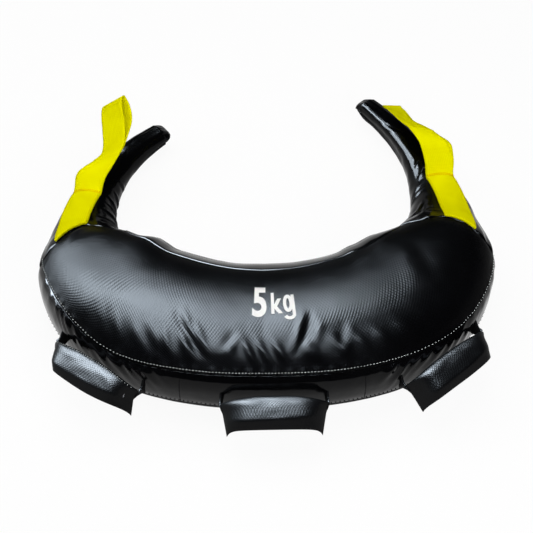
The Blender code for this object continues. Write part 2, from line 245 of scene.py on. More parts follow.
def half_sizes(distance):
    """Half width, half height and middle height of the stuffed section."""
    if distance not in sizes:
        share = abs(distance) / REACHES[side_of(distance)]
        wide = HALF_WIDTH * smooth(WIDTH_SHARES, share)
        high = HALF_WIDTH * smooth(HEIGHT_SHARES, share)
        lifted = min(max((share - LIFT_START_SHARE) / (1.0 - LIFT_START_SHARE), 0.0), 1.0)
        sizes[distance] = (wide, high, high * (1.0 - SINK_SHARE) + HORN_LIFT * lifted ** 2)
    return sizes[distance]


def rounded(value, power):
    """The value raised to a power, with its sign kept."""
    return math.copysign(abs(value) ** power, value)


def section(angle):
    """How far out and up the bag's section reaches at this angle, as shares of its half sizes."""
    up = math.sin(math.radians(angle))
    power = 2.0 / (TOP_CURVE if up > 0 else UNDERSIDE_CURVE)
    return rounded(math.cos(math.radians(angle)), power), rounded(up, power)


def beside_spine(distance, reach, height):
    """Point this far out from the bag's centre line and this high."""
    point, outward = spine(distance)
    return point + outward * reach + Vector((0.0, 0.0, height))


def skin(distance, angle):
    """Point on the bag's smooth skin."""
    wide, high, middle = half_sizes(distance)
    across, up = section(angle)
    return beside_spine(distance, wide * across, middle + high * up)


def facing(distance, angle):
    """Direction out of the skin."""
    along = skin(distance + 1e-4, angle) - skin(distance - 1e-4, angle)
    around = skin(distance, angle + 0.2) - skin(distance, angle - 0.2)
    return along.cross(around).normalized()


def raised(distance, angle, height):
    """Point this far out from the smooth skin, never below the floor."""
    point = skin(distance, angle) + facing(distance, angle) * height
    point.z = max(point.z, 0.0)
    return point


def ripple(place, period, seed):
    """Uneven gathers: 0 between folds and 1 on each crest."""
    warped = place / period + 0.8 * noise.noise(Vector((place / period * 0.45, seed, 0.0)))
    return (0.5 + 0.5 * math.cos(2 * math.pi * warped)) ** 1.6


def lumps(distance, angle, size, seed):
    """Slow unevenness of the stuffing, from -1 to 1."""
    point = skin(distance, angle) / size
    return noise.noise(point + Vector((seed, 0.0, 0.0)))


def crease(distance, angle, fold):
    """A fold's height here: a ridge with a valley beside it, run out past both its ends."""
    (start, start_angle), (end, end_angle), width, height = fold
    run = Vector((end - start, (end_angle - start_angle) * METRES_PER_DEGREE))
    here = Vector((distance - start, (angle - start_angle) * METRES_PER_DEGREE))
    share = here.dot(run) / run.length_squared
    if share < -CREASE_RUN_OUT or share > 1.0 + CREASE_RUN_OUT:
        return 0.0
    beside = here.cross(run.normalized())
    shown = (share + CREASE_RUN_OUT) / (1.0 + 2.0 * CREASE_RUN_OUT)
    taper = math.sin(math.pi * min(max(shown, 0.0), 1.0))
    ridge = bell(beside, 0.0, width)
    valley = bell(beside, 1.6 * width, width)
    return height * taper * (ridge - 0.8 * valley)


def bent_grid(name, columns, rows, place, size, finishes, round_rows=False, flip=False):
    """A flat grid bent into a piece. place gives the point for shares of its length and width."""
    shape = bmesh.new()
    laid = shape.loops.layers.uv.new("laid_flat")
    bmesh.ops.create_grid(shape, x_segments=columns, y_segments=rows, size=0.5)
    for face in shape.faces:
        face.smooth = True
        for corner in face.loops:
            corner[laid].uv = ((corner.vert.co.x + 0.5) * size[0], (corner.vert.co.y + 0.5) * size[1])
    for vertex in shape.verts:
        vertex.co = place(vertex.co.x + 0.5, vertex.co.y + 0.5)
    if round_rows:
        bmesh.ops.remove_doubles(shape, verts=shape.verts, dist=1e-6)
    if flip:
        bmesh.ops.reverse_faces(shape, faces=shape.faces)
    return finished(name, shape, finishes)


def finished(name, shape, finishes):
    """The object of a finished bmesh, with its materials."""
    mesh = bpy.data.meshes.new(name)
    shape.to_mesh(mesh)
    shape.free()
    for finish in finishes:
        mesh.materials.append(finish)
    made = bpy.data.objects.new(name, mesh)
    bpy.context.scene.collection.objects.link(made)
    return made


def walled(piece, thickness, offset=-1.0):
    """Gives a sheet its real thickness."""
    wall = piece.modifiers.new("wall", "SOLIDIFY")
    wall.thickness = thickness
    wall.offset = offset
    wall.use_quality_normals = True


DOTS_PER_METRE = 420.0


def blank_finish(name):
    """A new material with its node tree and its Principled shader."""
    made = bpy.data.materials.new(name)
    made.use_nodes = True
    return made, made.node_tree, made.node_tree.nodes["Principled BSDF"]


def vinyl(name, code, ior, roughness, weave_depth, crumple_depth, soft_gloss=0.0):
    """PVC-coated polyester: deep black, with highlights that run along its folds.

    weave_depth is the pressed grain's, crumple_depth its soft unevenness, and soft_gloss the
    share of light that it mirrors alike at every angle. The IOR is lower than real PVC's, or
    the white room would turn the black grey.
    """
    made, tree, shader = blank_finish(name)
    shader.inputs["IOR"].default_value = ior
    flat = add(tree, "TexCoord")
    # The pressed grain is a slanting grid of dots 1 mm apart, drawn 2.4 mm apart to show
    turned = add(tree, "Mapping", {
        "Vector": flat.outputs["UV"],
        "Rotation": (0.0, 0.0, math.radians(45.0)),
        "Scale": (DOTS_PER_METRE, DOTS_PER_METRE, DOTS_PER_METRE),
    })
    lattice = {"Vector": turned.outputs[0], "Scale": 1.0, "Randomness": 0.0}
    dots = add(tree, "TexVoronoi", lattice, voronoi_dimensions="2D")
    uneven = {"Vector": flat.outputs["Object"], "Scale": 60.0, "Detail": 4.0, "Roughness": 0.55}
    soft = add(tree, "TexNoise", uneven)
    slow = add(tree, "TexNoise", {"Vector": flat.outputs["Object"], "Scale": 14.0, "Detail": 2.0})
    crumple = add(tree, "Bump", {"Height": soft.outputs["Fac"], "Strength": 0.6, "Distance": crumple_depth})
    grain = add(tree, "Bump", {
        "Height": dots.outputs["Distance"],
        "Strength": 1.0,
        "Distance": weave_depth,
        "Normal": crumple.outputs[0],
    })
    # Handling rubs some parts smoother than others
    rubbed = add(tree, "MapRange", {
        "Value": slow.outputs["Fac"],
        "From Min": 0.3,
        "From Max": 0.7,
        "To Min": roughness - 0.05,
        "To Max": roughness + 0.05,
    })
    tone = add(tree, "MapRange", {"Value": slow.outputs["Fac"], "To Min": 0.8, "To Max": 1.25})
    base = add(tree, "VectorMath", {0: colour(code)[:3], "Scale": tone.outputs[0]}, operation="SCALE")
    tree.links.new(base.outputs[0], shader.inputs["Base Color"])
    tree.links.new(rubbed.outputs[0], shader.inputs["Roughness"])
    tree.links.new(grain.outputs[0], shader.inputs["Normal"])
    if soft_gloss > 0.0:
        shine = add(tree, "BsdfAnisotropic", {
            "Color": (soft_gloss, soft_gloss, soft_gloss, 1.0),
            "Roughness": rubbed.outputs[0],
            "Normal": grain.outputs[0],
        })
        both = add(tree, "AddShader", {0: shader.outputs[0], 1: shine.outputs[0]})
        tree.links.new(both.outputs[0], tree.nodes["Material Output"].inputs["Surface"])
    return made


# The seams between the panels: the section angle at each distance along the bag
SEAM_ANGLES = {
    "outer": ((-0.269, 26.0), (-0.21, 29.0), (-0.147, 22.5), (-0.078, 25.0), (0.0, 27.0),
              (0.081, 25.0), (0.159, 21.5), (0.204, 17.5), (0.282, 15.5)),
    "lower": ((-0.269, -19.0), (-0.10, -15.0), (0.13, -15.0), (0.282, -19.0)),
    "inner": ((-0.269, 134.0), (-0.15, 130.0), (0.0, 127.0), (0.15, 130.0), (0.282, 134.0)),
    "under": ((-0.269, 224.0), (0.282, 224.0)),
}
# The belly's ends: distance along its sides, how much further out it reaches on top, and the
# angle and spread of that reach
BELLY_ENDS = {-1: (0.262, 0.036, 93.0, 32.0), 1: (0.274, 0.022, 86.0, 36.0)}
BELLY_LENGTH = 0.56
SEAM_ROUND = 0.0020
GUSSET_SEAM_ROUND = 0.0008
GUSSET_TUCK = 0.0012
VINYL_THICKNESS = 0.0012
# How far the inner side swells or dips, by distance along the bag, and the middle angle and
# spread of that band
INNER_SWELL = (
    (-0.262, 0.0024), (-0.236, 0.0036), (-0.204, 0.0080), (-0.176, 0.0042), (-0.150, -0.0008),
    (-0.120, -0.0028), (-0.085, -0.0030), (-0.050, -0.0020), (0.0, 0.0014), (0.050, -0.0018),
    (0.090, -0.0030), (0.120, -0.0024), (0.140, 0.0012), (0.165, 0.0032), (0.200, 0.0068),
    (0.225, 0.0072), (0.250, 0.0048), (0.276, 0.0010),
)
INNER_SWELL_BAND = (152.0, 34.0)
# Unevenness of the stuffing: height, size of the lumps and seed
BELLY_LUMPS = ((0.0012, 0.075, 3.0), (0.0002, 0.018, 9.0))
# Gathers and puckers: height, period along the bag and seed
FRONT_RIPPLES = (0.0017, 0.024, 12.0)
GRIP_GATHERS = (0.0030, 0.0115, 2.0)
GUSSET_PUCKERS = (0.0006, 0.016, 5.0)
SEAM_PUCKERS = (0.0007, 0.013, 7.0)
# Where they lie. A band or span is a middle and a spread, in degrees of section angle or in
# metres along the bag or from the outer seam
FRONT_RIPPLE_BAND = (50.0, 9.0)
FRONT_RIPPLE_REACH = 0.17
FRONT_RIPPLE_SLANT = 0.0006
GUSSET_METRES_PER_DEGREE = 0.0016
GRIP_GATHER_SPAN = (0.155, 0.055)
GATHER_DEPTH = 0.010
SEAM_PUCKER_BAND = (-0.007, 0.006)
SEAM_PUCKER_END = 0.030
# How strongly the mesh's rows crowd towards the seams, and how far the outer gusset dips under
# the front panel's edge
ROW_CROWDING_SHARE = 0.75
TUCK_REACH = 0.008

# Creases of the front panel: two ends as (distance, angle), half width and height
FRONT_CREASES = (
    ((-0.089, 76.0), (-0.053, 45.0), 0.0042, 0.0019),
    ((-0.073, 70.0), (-0.054, 50.0), 0.0034, 0.0012),
    ((-0.024, 64.0), (-0.036, 46.0), 0.0045, 0.0009),
    ((-0.120, 62.0), (-0.098, 42.0), 0.0060, 0.0010),
    ((0.052, 79.0), (0.034, 48.0), 0.0042, -0.0018),
    ((0.062, 72.0), (0.052, 54.0), 0.0044, 0.0010),
    ((0.092, 66.0), (0.080, 42.0), 0.0050, 0.0008),
    ((-0.288, 92.0), (-0.262, 68.0), 0.0060, 0.0018),
    ((0.225, 104.0), (0.190, 72.0), 0.0110, -0.0007),
    ((0.210, 126.0), (0.130, 112.0), 0.0090, 0.0008),
)

# The pressed grain breaks the panels' lights up into fine dots. The gussets mirror sharply.
grain_vinyl = vinyl("weave_pressed_pvc", "040405", 1.03, 0.25, 0.00027, 0.0002, 0.0031)
gusset_vinyl = vinyl("smooth_gloss_gusset_pvc", "040405", 1.22, 0.15, 0.0, 0.0005)


def belly_end(side, angle):
    """Distance, never negative, at which the belly is sewn to a horn."""
    short, further, crest, spread = BELLY_ENDS[side]
    return short + further * bell(from_outer(angle % 360.0), crest, spread)


def belly_relief(distance, angle):
    """Height of the belly's folds and gathers over its smooth skin."""
    height = sum(high * lumps(distance, angle, size, seed) for high, size, seed in BELLY_LUMPS)
    height += smooth(INNER_SWELL, distance) * bell(angle, *INNER_SWELL_BAND)
    for fold in FRONT_CREASES:
        height += crease(distance, angle, fold)
    low_front = bell(angle, *FRONT_RIPPLE_BAND) * bell(distance, 0.0, FRONT_RIPPLE_REACH, 4)
    slanted = distance + FRONT_RIPPLE_SLANT * (angle - FRONT_RIPPLE_BAND[0])
    height += FRONT_RIPPLES[0] * low_front * ripple(slanted, *FRONT_RIPPLES[1:])
    below = (smooth(SEAM_ANGLES["outer"], distance) - angle) * GUSSET_METRES_PER_DEGREE
    if below > 0:
        near_grip = bell(abs(distance), *GRIP_GATHER_SPAN, 4)
        fade = (below / GATHER_DEPTH) * math.exp(1.0 - below / GATHER_DEPTH)
        uneven = 0.5 + noise.noise(Vector((distance * 45.0, 4.0, 0.0)))
        slanted = distance + 0.5 * below * side_of(distance)
        height += GRIP_GATHERS[0] * near_grip * fade * uneven * ripple(slanted, *GRIP_GATHERS[1:])
        height += GUSSET_PUCKERS[0] * fade * ripple(distance, *GUSSET_PUCKERS[1:])
    elif below > -SEAM_PUCKER_END:
        fade = bell(below, *SEAM_PUCKER_BAND)
        height += SEAM_PUCKERS[0] * fade * ripple(distance, *SEAM_PUCKERS[1:])
    return height


def on_belly(distance, angle, height):
    """Point this far above the belly's folds."""
    return raised(distance, angle, belly_relief(distance, from_outer(angle)) + height)


def turned_in(gap, rounding):
    """Depth of a panel's edge this far from its seam."""
    if gap >= rounding:
        return 0.0
    return rounding - math.sqrt(max(rounding ** 2 - (rounding - gap) ** 2, 0.0))


# Each panel: node, the seams it runs between, the turn added to the last, width as cut, rows and
# finish
PANELS = (
    ("front_panel", "outer", "inner", 0.0, 0.178, 96, grain_vinyl),
    ("inner_gusset", "inner", "under", 0.0, 0.105, 50, gusset_vinyl),
    ("back_panel", "under", "lower", 360.0, 0.160, 70, grain_vinyl),
    ("outer_gusset", "lower", "outer", 0.0, 0.075, 48, gusset_vinyl),
)
for name, first, last, turn, width, rows, finish in PANELS:

    def place(along, across):
        distance = BELLY_ENDS[1][0] * (2.0 * along - 1.0)
        share = across - ROW_CROWDING_SHARE * math.sin(2 * math.pi * across) / (2 * math.pi)
        for _ in range(3):
            start = smooth(SEAM_ANGLES[first], distance)
            end = smooth(SEAM_ANGLES[last], distance) + turn
            angle = start + (end - start) * share
            left_end = belly_end(-1, angle)
            right_end = belly_end(1, angle)
            distance = (left_end + right_end) * along - left_end
        pace = (skin(distance, angle + 0.5) - skin(distance, angle - 0.5)).length
        gap = min(angle - start, end - angle) * pace
        if name == "outer_gusset":
            tuck = GUSSET_TUCK * max(1.0 - (end - angle) * pace / TUCK_REACH, 0.0)
            dip = turned_in((angle - start) * pace, GUSSET_SEAM_ROUND) + tuck
        else:
            dip = turned_in(gap, SEAM_ROUND)
        dip = max(dip, turned_in(min(distance + left_end, right_end - distance), SEAM_ROUND))
        return on_belly(distance, angle, -dip)

    piece = bent_grid("vinyl_" + name, 260, rows, place, (BELLY_LENGTH, width), [finish])
    walled(piece, VINYL_THICKNESS)
    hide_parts(name)
    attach(piece, "bag")


# Stitches of the belly: a dashed white topstitch along the front panel's outer edge, and black
# lockstitch along the other seams and down the outer gusset's two joins. Each stitch is one
# turn of polyester thread lying on the vinyl.
TOPSTITCH_RISE = 3.6
STITCH_PITCH = 0.0031
STITCH_LENGTH = 0.0021
THREAD_HALF_WIDTH = 0.00046
THREAD_LIFT = 0.0003
LOOK_AHEAD = 0.001
LOOK_ROUND = 0.5
# Rows of lockstitch: the seam and how many degrees above it they run
LOCKSTITCH_ROWS = (("inner", 2.4), ("inner", 21.0), ("lower", 2.6))
LOCKSTITCH_PITCH = 0.0042
# The gusset's joins: their distances, and the stitches down each, as angles
GUSSET_JOINS = (-0.078, 0.095)
JOIN_STITCHES = 18
JOIN_START = -16.0
JOIN_STEP = 1.9


def thread(name, code):
    """Twisted polyester thread: a soft sheen, with fine slanting strands."""
    made, tree, shader = blank_finish(name)
    shader.inputs["Base Color"].default_value = colour(code)
    shader.inputs["Roughness"].default_value = 0.6
    shader.inputs["Specular IOR Level"].default_value = 0.0
    flat = add(tree, "TexCoord")
    lay = {"Vector": flat.outputs["Object"], "Scale": 900.0, "Distortion": 1.5}
    twist = add(tree, "TexWave", lay, bands_direction="DIAGONAL")
    strands = add(tree, "Bump", {"Height": twist.outputs["Fac"], "Strength": 0.5, "Distance": 0.0001})
    tree.links.new(strands.outputs[0], shader.inputs["Normal"])
    return made


def stitches(name, places, finish, length=STITCH_LENGTH, half_width=THREAD_HALF_WIDTH):
    """One object of short stitches, each at a place with its direction and the way out."""
    shape = bmesh.new()
    for point, along, outward in places:
        forward = along.normalized()
        across = outward.cross(along).normalized()
        turned = Matrix((forward, across, forward.cross(across))).transposed().to_4x4()
        size = Matrix.Diagonal((length / 2, half_width, half_width, 1.0))
        laid = Matrix.Translation(point) @ turned @ size
        bmesh.ops.create_uvsphere(shape, u_segments=6, v_segments=4, radius=1.0, matrix=laid)
    for face in shape.faces:
        face.smooth = True
    return finished(name, shape, [finish])


def stitch_on_belly(distance, angle, step_along, step_round):
    """A stitch on the belly: its place, the way that it runs and the way out."""
    point = on_belly(distance, angle, THREAD_LIFT)
    after = on_belly(distance + step_along, angle + step_round, THREAD_LIFT)
    return point, after - point, facing(distance, angle)


def along_seam(seam, rise, start, end, pitch):
    """Stitches this many degrees above a belly seam."""
    places = []
    for i in range(int((end - start) / pitch)):
        distance = start + (i + 0.5) * pitch
        angle = smooth(SEAM_ANGLES[seam], distance) + rise
        places.append(stitch_on_belly(distance, angle, LOOK_AHEAD, 0.0))
    return places


white_thread = thread("white_polyester_thread", "CDD3D2")
black_thread = thread("black_polyester_thread", "151517")
places = along_seam("outer", TOPSTITCH_RISE, -0.266, 0.279, STITCH_PITCH)
piece = stitches("outer_topstitch", places, white_thread)
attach(piece, "bag")
places = []
for seam, rise in LOCKSTITCH_ROWS:
    places += along_seam(seam, rise, -BELLY_ENDS[-1][0], BELLY_ENDS[1][0], LOCKSTITCH_PITCH)
for distance in GUSSET_JOINS:
    for i in range(JOIN_STITCHES):
        places.append(stitch_on_belly(distance, JOIN_START + JOIN_STEP * i, 0.0, LOOK_ROUND))
piece = stitches("gusset_lockstitch", places, black_thread)
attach(piece, "bag")


# Fillings: white wool wadding in an upper and a lower half, laid round a sewn cotton sack of
# sand. The halves lie loose in the skin. They are never seen, and give the bag its body.
SACK_HALF_SIZES = (0.095, 0.0275, 0.018)
SACK_END_SHARE = 0.998
SACK_CLEARANCE = 0.001
SACK_SLUMP_SHARE = 0.05
WOOL_GAP = 0.0045
WOOL_END_GAP = 0.006
HALVES_GAP = 0.0005
# Share of a half's section that lies against the skin; the rest lies against the sack
OUTER_SHARE = 0.6


def fluffy(name, code, pitch, depth):
    """Matt fibre, cloth or foam: pale and dull, mottled at this pitch."""
    made, tree, shader = blank_finish(name)
    shader.inputs["Roughness"].default_value = 0.95
    shader.inputs["Specular IOR Level"].default_value = 0.0
    flat = add(tree, "TexCoord")
    grain = add(tree, "TexNoise", {"Vector": flat.outputs["Object"], "Scale": 1.0 / pitch, "Detail": 3.0})
    tone = add(tree, "MapRange", {"Value": grain.outputs["Fac"], "To Min": 0.8, "To Max": 1.1})
    base = add(tree, "VectorMath", {0: colour(code)[:3], "Scale": tone.outputs[0]}, operation="SCALE")
    rough = add(tree, "Bump", {"Height": grain.outputs["Fac"], "Strength": 0.7, "Distance": depth})
    tree.links.new(base.outputs[0], shader.inputs["Base Color"])
    tree.links.new(rough.outputs[0], shader.inputs["Normal"])
    return made


def closed_tube(name, columns, rows, place, size, finishes):
    """A bent grid whose rows join into a tube, with both ends filled."""
    piece = bent_grid(name, columns, rows, place, size, finishes, round_rows=True)
    shape = bmesh.new()
    shape.from_mesh(piece.data)
    bmesh.ops.holes_fill(shape, edges=[edge for edge in shape.edges if edge.is_boundary], sides=0)
    bmesh.ops.recalc_face_normals(shape, faces=shape.faces)
    shape.to_mesh(piece.data)
    shape.free()
    return piece


def inside(distance, angle, inset):
    """Point this far inside the skin."""
    wide, high, middle = half_sizes(distance)
    across, up = section(angle)
    return beside_spine(distance, (wide - inset) * across, max(middle + (high - inset) * up, inset))


wool = fluffy("wool_wadding", "D8D2C4", 0.006, 0.002)
sacking = fluffy("cotton_sack_cloth", "B9A98A", 0.0012, 0.0004)
for name, way in (("upper_wadding", 1.0), ("lower_wadding", -1.0)):

    def place(along, around):
        left_end = BELLY_ENDS[-1][0] - WOOL_END_GAP
        distance = (left_end + BELLY_ENDS[1][0] - WOOL_END_GAP) * along - left_end
        middle = half_sizes(distance)[2]
        if around <= OUTER_SHARE:
            point = inside(distance, way * 180.0 * around / OUTER_SHARE, WOOL_GAP)
        else:
            turn = math.pi * (1.0 - (around - OUTER_SHARE) / (1.0 - OUTER_SHARE))
            hollow = [size + SACK_CLEARANCE for size in SACK_HALF_SIZES]
            full = math.sqrt(max(1.0 - (distance / hollow[0]) ** 4, 0.0))
            rise = hollow[2] * full * math.sin(turn)
            point = beside_spine(distance, hollow[1] * full * math.cos(turn), middle + way * rise)
        point.z = middle + way * max(way * (point.z - middle), HALVES_GAP)
        return point

    piece = closed_tube("wool_" + name, 60, 40, place, (0.5, 0.3), [wool])
    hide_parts(name)
    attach(piece, "bag")


def place(along, around):
    distance = SACK_HALF_SIZES[0] * SACK_END_SHARE * (2.0 * along - 1.0)
    full = math.sqrt(1.0 - (distance / SACK_HALF_SIZES[0]) ** 4)
    turn = 2 * math.pi * around
    slump = 1.0 + SACK_SLUMP_SHARE * noise.noise(Vector((along * 7.0, math.cos(turn), math.sin(turn))))
    reach = SACK_HALF_SIZES[1] * full * math.cos(turn) * min(slump, 1.0)
    rise = SACK_HALF_SIZES[2] * full * math.sin(turn) * min(slump, 1.0)
    return beside_spine(distance, reach, half_sizes(distance)[2] + rise)


piece = closed_tube("sewn_sand_sack", 40, 32, place, (0.19, 0.15), [sacking])
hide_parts("sand_sack")
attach(piece, "bag")


# Horns: each a sleeve of the gloss vinyl, stuffed with wool, sewn to the belly's end and gathered
# into pleats that are pressed flat and sewn across at the tip.
TIP_LENGTH = 0.014
LIP_HALF_WIDTH = 0.0135
LIP_HALF_THICKNESS = 0.0022
LIP_CURVE = 1.15
LIP_ROUNDING = 0.008
PLEAT_LENGTH = 0.060
PLEAT_HEIGHT = 0.0016
PLEATS = 9
LIP_WAVE = 0.0016
LIP_WAVE_TURN = 2.6
LIP_UNEVENNESS = 0.16
SLEEVE_GAP = 0.0006
BASE_GATHERS = 16
BASE_GATHER_HEIGHT = 0.0010
BASE_GATHER_LENGTH = 0.022
HORN_LUMPS = ((0.0013, 0.045, 21.0), (0.0005, 0.016, 4.0))
# The right horn is pressed flat along its middle: how far, the distance and spread, and the
# angles and spreads of where it rises and where it sinks
HORN_FLATTENING = 0.0044
FLAT_SPAN = (0.54, 0.09)
FLAT_RISE_BAND = (128.0, 24.0)
FLAT_SINK_BAND = (190.0, 38.0)
WOOL_TIP_GAP = 0.003
WOOL_TIP_START = 0.8
TIP_STITCHES = 9
TIP_STITCH_REACH = 0.011
# Rows across the tip: back from the lip's end, and height as a share of the lip's half thickness
TIP_ROWS = ((0.0035, 1.25), (0.0062, 1.75))

HORN_CREASES = {
    -1: (
        ((-0.312, 122.0), (-0.322, 160.0), 0.0030, 0.0016),
        ((-0.328, 118.0), (-0.334, 176.0), 0.0030, 0.0014),
        ((-0.352, 126.0), (-0.346, 190.0), 0.0030, 0.0018),
        ((-0.370, 134.0), (-0.366, 192.0), 0.0026, 0.0014),
        ((-0.386, 134.0), (-0.378, 196.0), 0.0030, 0.0016),
        ((-0.406, 148.0), (-0.400, 204.0), 0.0026, 0.0014),
        ((-0.430, 150.0), (-0.437, 205.0), 0.0030, 0.0010),
    ),
    1: (
        ((0.449, 104.0), (0.439, 128.0), 0.0036, 0.0020),
        ((0.430, 104.0), (0.417, 130.0), 0.0038, 0.0024),
        ((0.318, 96.0), (0.323, 124.0), 0.0040, 0.0018),
        ((0.307, 146.0), (0.356, 128.0), 0.0050, 0.0018),
        ((0.395, 120.0), (0.378, 176.0), 0.0040, 0.0014),
        ((0.505, 100.0), (0.540, 136.0), 0.0060, 0.0008),
    ),
}
# Smooth PVC without the grain: narrow bright lights that follow every fold
gloss_vinyl = vinyl("smooth_gloss_pvc", "040405", 1.06, 0.15, 0.0, 0.0005, 0.0050)


def horn_relief(distance, angle):
    """Height of a horn's folds, gathers and pleats over its smooth skin."""
    side = side_of(distance)
    height = sum(high * lumps(distance, angle, size, seed) for high, size, seed in HORN_LUMPS)
    for fold in HORN_CREASES[side]:
        height += crease(distance, angle, fold)
    if side > 0:
        rise = bell(angle, *FLAT_RISE_BAND) - bell(angle, *FLAT_SINK_BAND)
        height += HORN_FLATTENING * bell(distance, *FLAT_SPAN, 4) * rise
    turn = math.radians(angle)
    wander = noise.noise(Vector((1.4 * math.cos(turn), 1.4 * math.sin(turn), 5.0 * side)))
    near_base = bell(abs(distance), belly_end(side, angle), BASE_GATHER_LENGTH)
    height += BASE_GATHER_HEIGHT * near_base * math.cos(BASE_GATHERS * turn + 5.0 * wander)
    to_tip = min(max(1.0 - (REACHES[side] - abs(distance)) / PLEAT_LENGTH, 0.0), 1.0)
    pleat = abs(math.cos(PLEATS * turn / 2 + 2.0 * wander)) ** 0.7 - 0.6
    height += PLEAT_HEIGHT * to_tip ** 1.5 * pleat
    return height


for side, name in ((-1, "left"), (1, "right")):
    reach = REACHES[side]

    def place(along, around):
        angle = side * 360.0 * around
        base = belly_end(side, angle) + SLEEVE_GAP
        gone = base + (reach + SLEEVE_GAP + TIP_LENGTH - base) * along
        distance = side * min(gone, reach)
        dip = turned_in(gone - base, SEAM_ROUND)
        point = raised(distance, angle, horn_relief(distance, from_outer(angle % 360.0)) - dip)
        if gone <= reach:
            return point
        # Past the stuffing's end the sleeve is pressed into a wide flat lip
        share = (gone - reach) / (TIP_LENGTH + SLEEVE_GAP)
        gone -= LIP_ROUNDING * share * math.cos(math.radians(angle)) ** 4
        wide, high, middle = half_sizes(side * reach)
        shrink = 1.0 + (LIP_HALF_THICKNESS / high - 1.0) * share ** LIP_CURVE
        widen = 1.0 + (LIP_HALF_WIDTH / wide - 1.0) * share
        if along > 0.9999:
            shrink = 0.0
        before, outward_before = spine(side * reach)
        offset = point - before
        sideways = math.cos(math.radians(angle))
        lump = 1.0 + LIP_UNEVENNESS * noise.noise(Vector((share * 2.0, 3.0 * widen * sideways, side)))
        across = offset.dot(outward_before) * widen * lump
        rise = (offset.z - middle) * shrink
        sag = LIP_WAVE * math.sin(LIP_WAVE_TURN * sideways + side) * share
        return beside_spine(side * gone, across, middle + rise + sag)

    cut = (reach - BELLY_ENDS[side][0], 0.26)
    piece = bent_grid(name + "_gathered_sleeve", 200, 112, place, cut, [gloss_vinyl], round_rows=True)
    walled(piece, VINYL_THICKNESS)
    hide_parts(name + "_horn_sleeve", name + "_horn_tip")
    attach(piece, "bag")

    def place(along, around):
        base = belly_end(side, 90.0) + WOOL_END_GAP
        distance = side * (base + (reach - base - WOOL_END_GAP) * along)
        gap = WOOL_GAP if along < WOOL_TIP_START else WOOL_TIP_GAP
        if side > 0:
            gap += HORN_FLATTENING
        return inside(distance, side * 360.0 * around, gap)

    piece = closed_tube(name + "_horn_wool", 40, 28, place, (0.3, 0.2), [wool])
    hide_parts(name + "_horn_wadding")
    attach(piece, "bag")

    places = []
    for back_from_lip, rise_share in TIP_ROWS:
        for i in range(TIP_STITCHES):
            across = (i + 0.5) / TIP_STITCHES * 2.0 - 1.0
            here = side * (reach + TIP_LENGTH - back_from_lip)
            sag = LIP_WAVE * math.sin(LIP_WAVE_TURN * across + side) * 0.8
            half = LIP_HALF_THICKNESS * rise_share * math.sqrt(max(1.0 - across ** 2, 0.05))
            height = half_sizes(side * reach)[2] + sag + half
            point = beside_spine(here, across * TIP_STITCH_REACH, height)
            places.append((point, spine(here)[1], Vector((0.0, 0.0, 1.0))))
    piece = stitches(name + "_tip_stitches", places, black_thread, 0.0018)
    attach(piece, "bag")


# Straps: one length of 40 mm polyester webbing each side. It is doubled, its two ends are sewn
# flat along the horn up to a cross stitch, and the fold beyond stands free as a loop.
STRAP_WIDTH = 0.040
WEBBING_THICKNESS = 0.0014
STRAP_GAP = 0.0009
STRAP_ANGLES = (74.0, 80.0)
CROSS_DISTANCES = {-1: 0.388, 1: 0.416}
LAP_STARTS = {-1: 0.269, 1: 0.282}
LOOP_LENGTH = 0.150
STRAP_COLUMNS = 9
PIVOTS = {-1: Vector((-0.23262, 0.23841, 0.06422)), 1: Vector((0.23438, 0.26617, 0.06591))}

# Each row of a loop: share of its length, then sideways, backward and up as shares of the same
# length, and the webbing's yaw and roll in degrees
LOOP_ROWS = {
    -1: (
        (0.0, 0.0, 0.0, 0.0, -10.0, 10.0),
        (0.15, 0.075, 0.11, 0.08, -8.0, 8.0),
        (0.30, 0.185, 0.21, 0.14, -4.0, 27.0),
        (0.42, 0.240, 0.30, 0.175, -4.0, 38.0),
        (0.68, 0.240, 0.53, 0.21, -9.0, 39.0),
        (0.88, 0.215, 0.71, 0.225, -10.0, 42.0),
        (1.0, 0.200, 0.82, 0.225, -10.0, 41.0),
    ),
    1: (
        (0.0, 0.0, 0.0, 0.0, 10.0, -10.0),
        (0.15, -0.040, 0.06, 0.14, 10.0, -12.0),
        (0.28, -0.085, 0.12, 0.23, 9.0, -14.0),
        (0.43, -0.195, 0.22, 0.28, 14.0, -26.0),
        (0.60, -0.300, 0.36, 0.24, 38.0, -38.0),
        (0.75, -0.355, 0.50, 0.19, 46.0, -38.0),
        (1.0, -0.395, 0.73, 0.07, 40.0, -33.0),
    ),
}

# How far each leg stands from the loop's middle, by share of its length
EYES = {
    -1: ((0.0, 0.0012), (0.20, 0.0025), (0.45, 0.0035), (0.75, 0.0070), (0.92, 0.0055), (1.0, 0.0026)),
    1: ((0.0, 0.0012), (0.20, 0.0020), (0.50, 0.0022), (0.80, 0.0016), (0.95, 0.0014), (1.0, 0.0014)),
}
# The back leg's shift sideways from the front one, by share of its length
BACK_SHIFTS = {
    -1: (
        (0.0, 0.0), (0.15, -0.004), (0.35, -0.0075), (0.50, -0.004), (0.70, 0.0020), (0.88, 0.0028),
        (1.0, 0.0),
    ),
    1: (
        (0.0, 0.0), (0.15, 0.004), (0.35, 0.0090), (0.50, 0.0125), (0.75, 0.0150), (0.90, 0.0100),
        (1.0, 0.0030),
    ),
}
# A pressed crease across each loop's front leg: its place, height and half width
CRESTS = {-1: 0.335, 1: 0.42}
CREST_HEIGHT = 0.0008
CREST_WIDTH = 0.0016
# The laps stop short of the cross stitch by this much, and the legs begin and run on by these
# shares of the loop's length. The fold lies a little beyond the legs' ends
LAP_END_GAP = 0.004
LAP_STEPS = 12
LEG_START_SHARE = 0.07
LEG_RUN_SHARE = 0.91
LEG_STEPS = 14
FOLD_REACH = 0.002
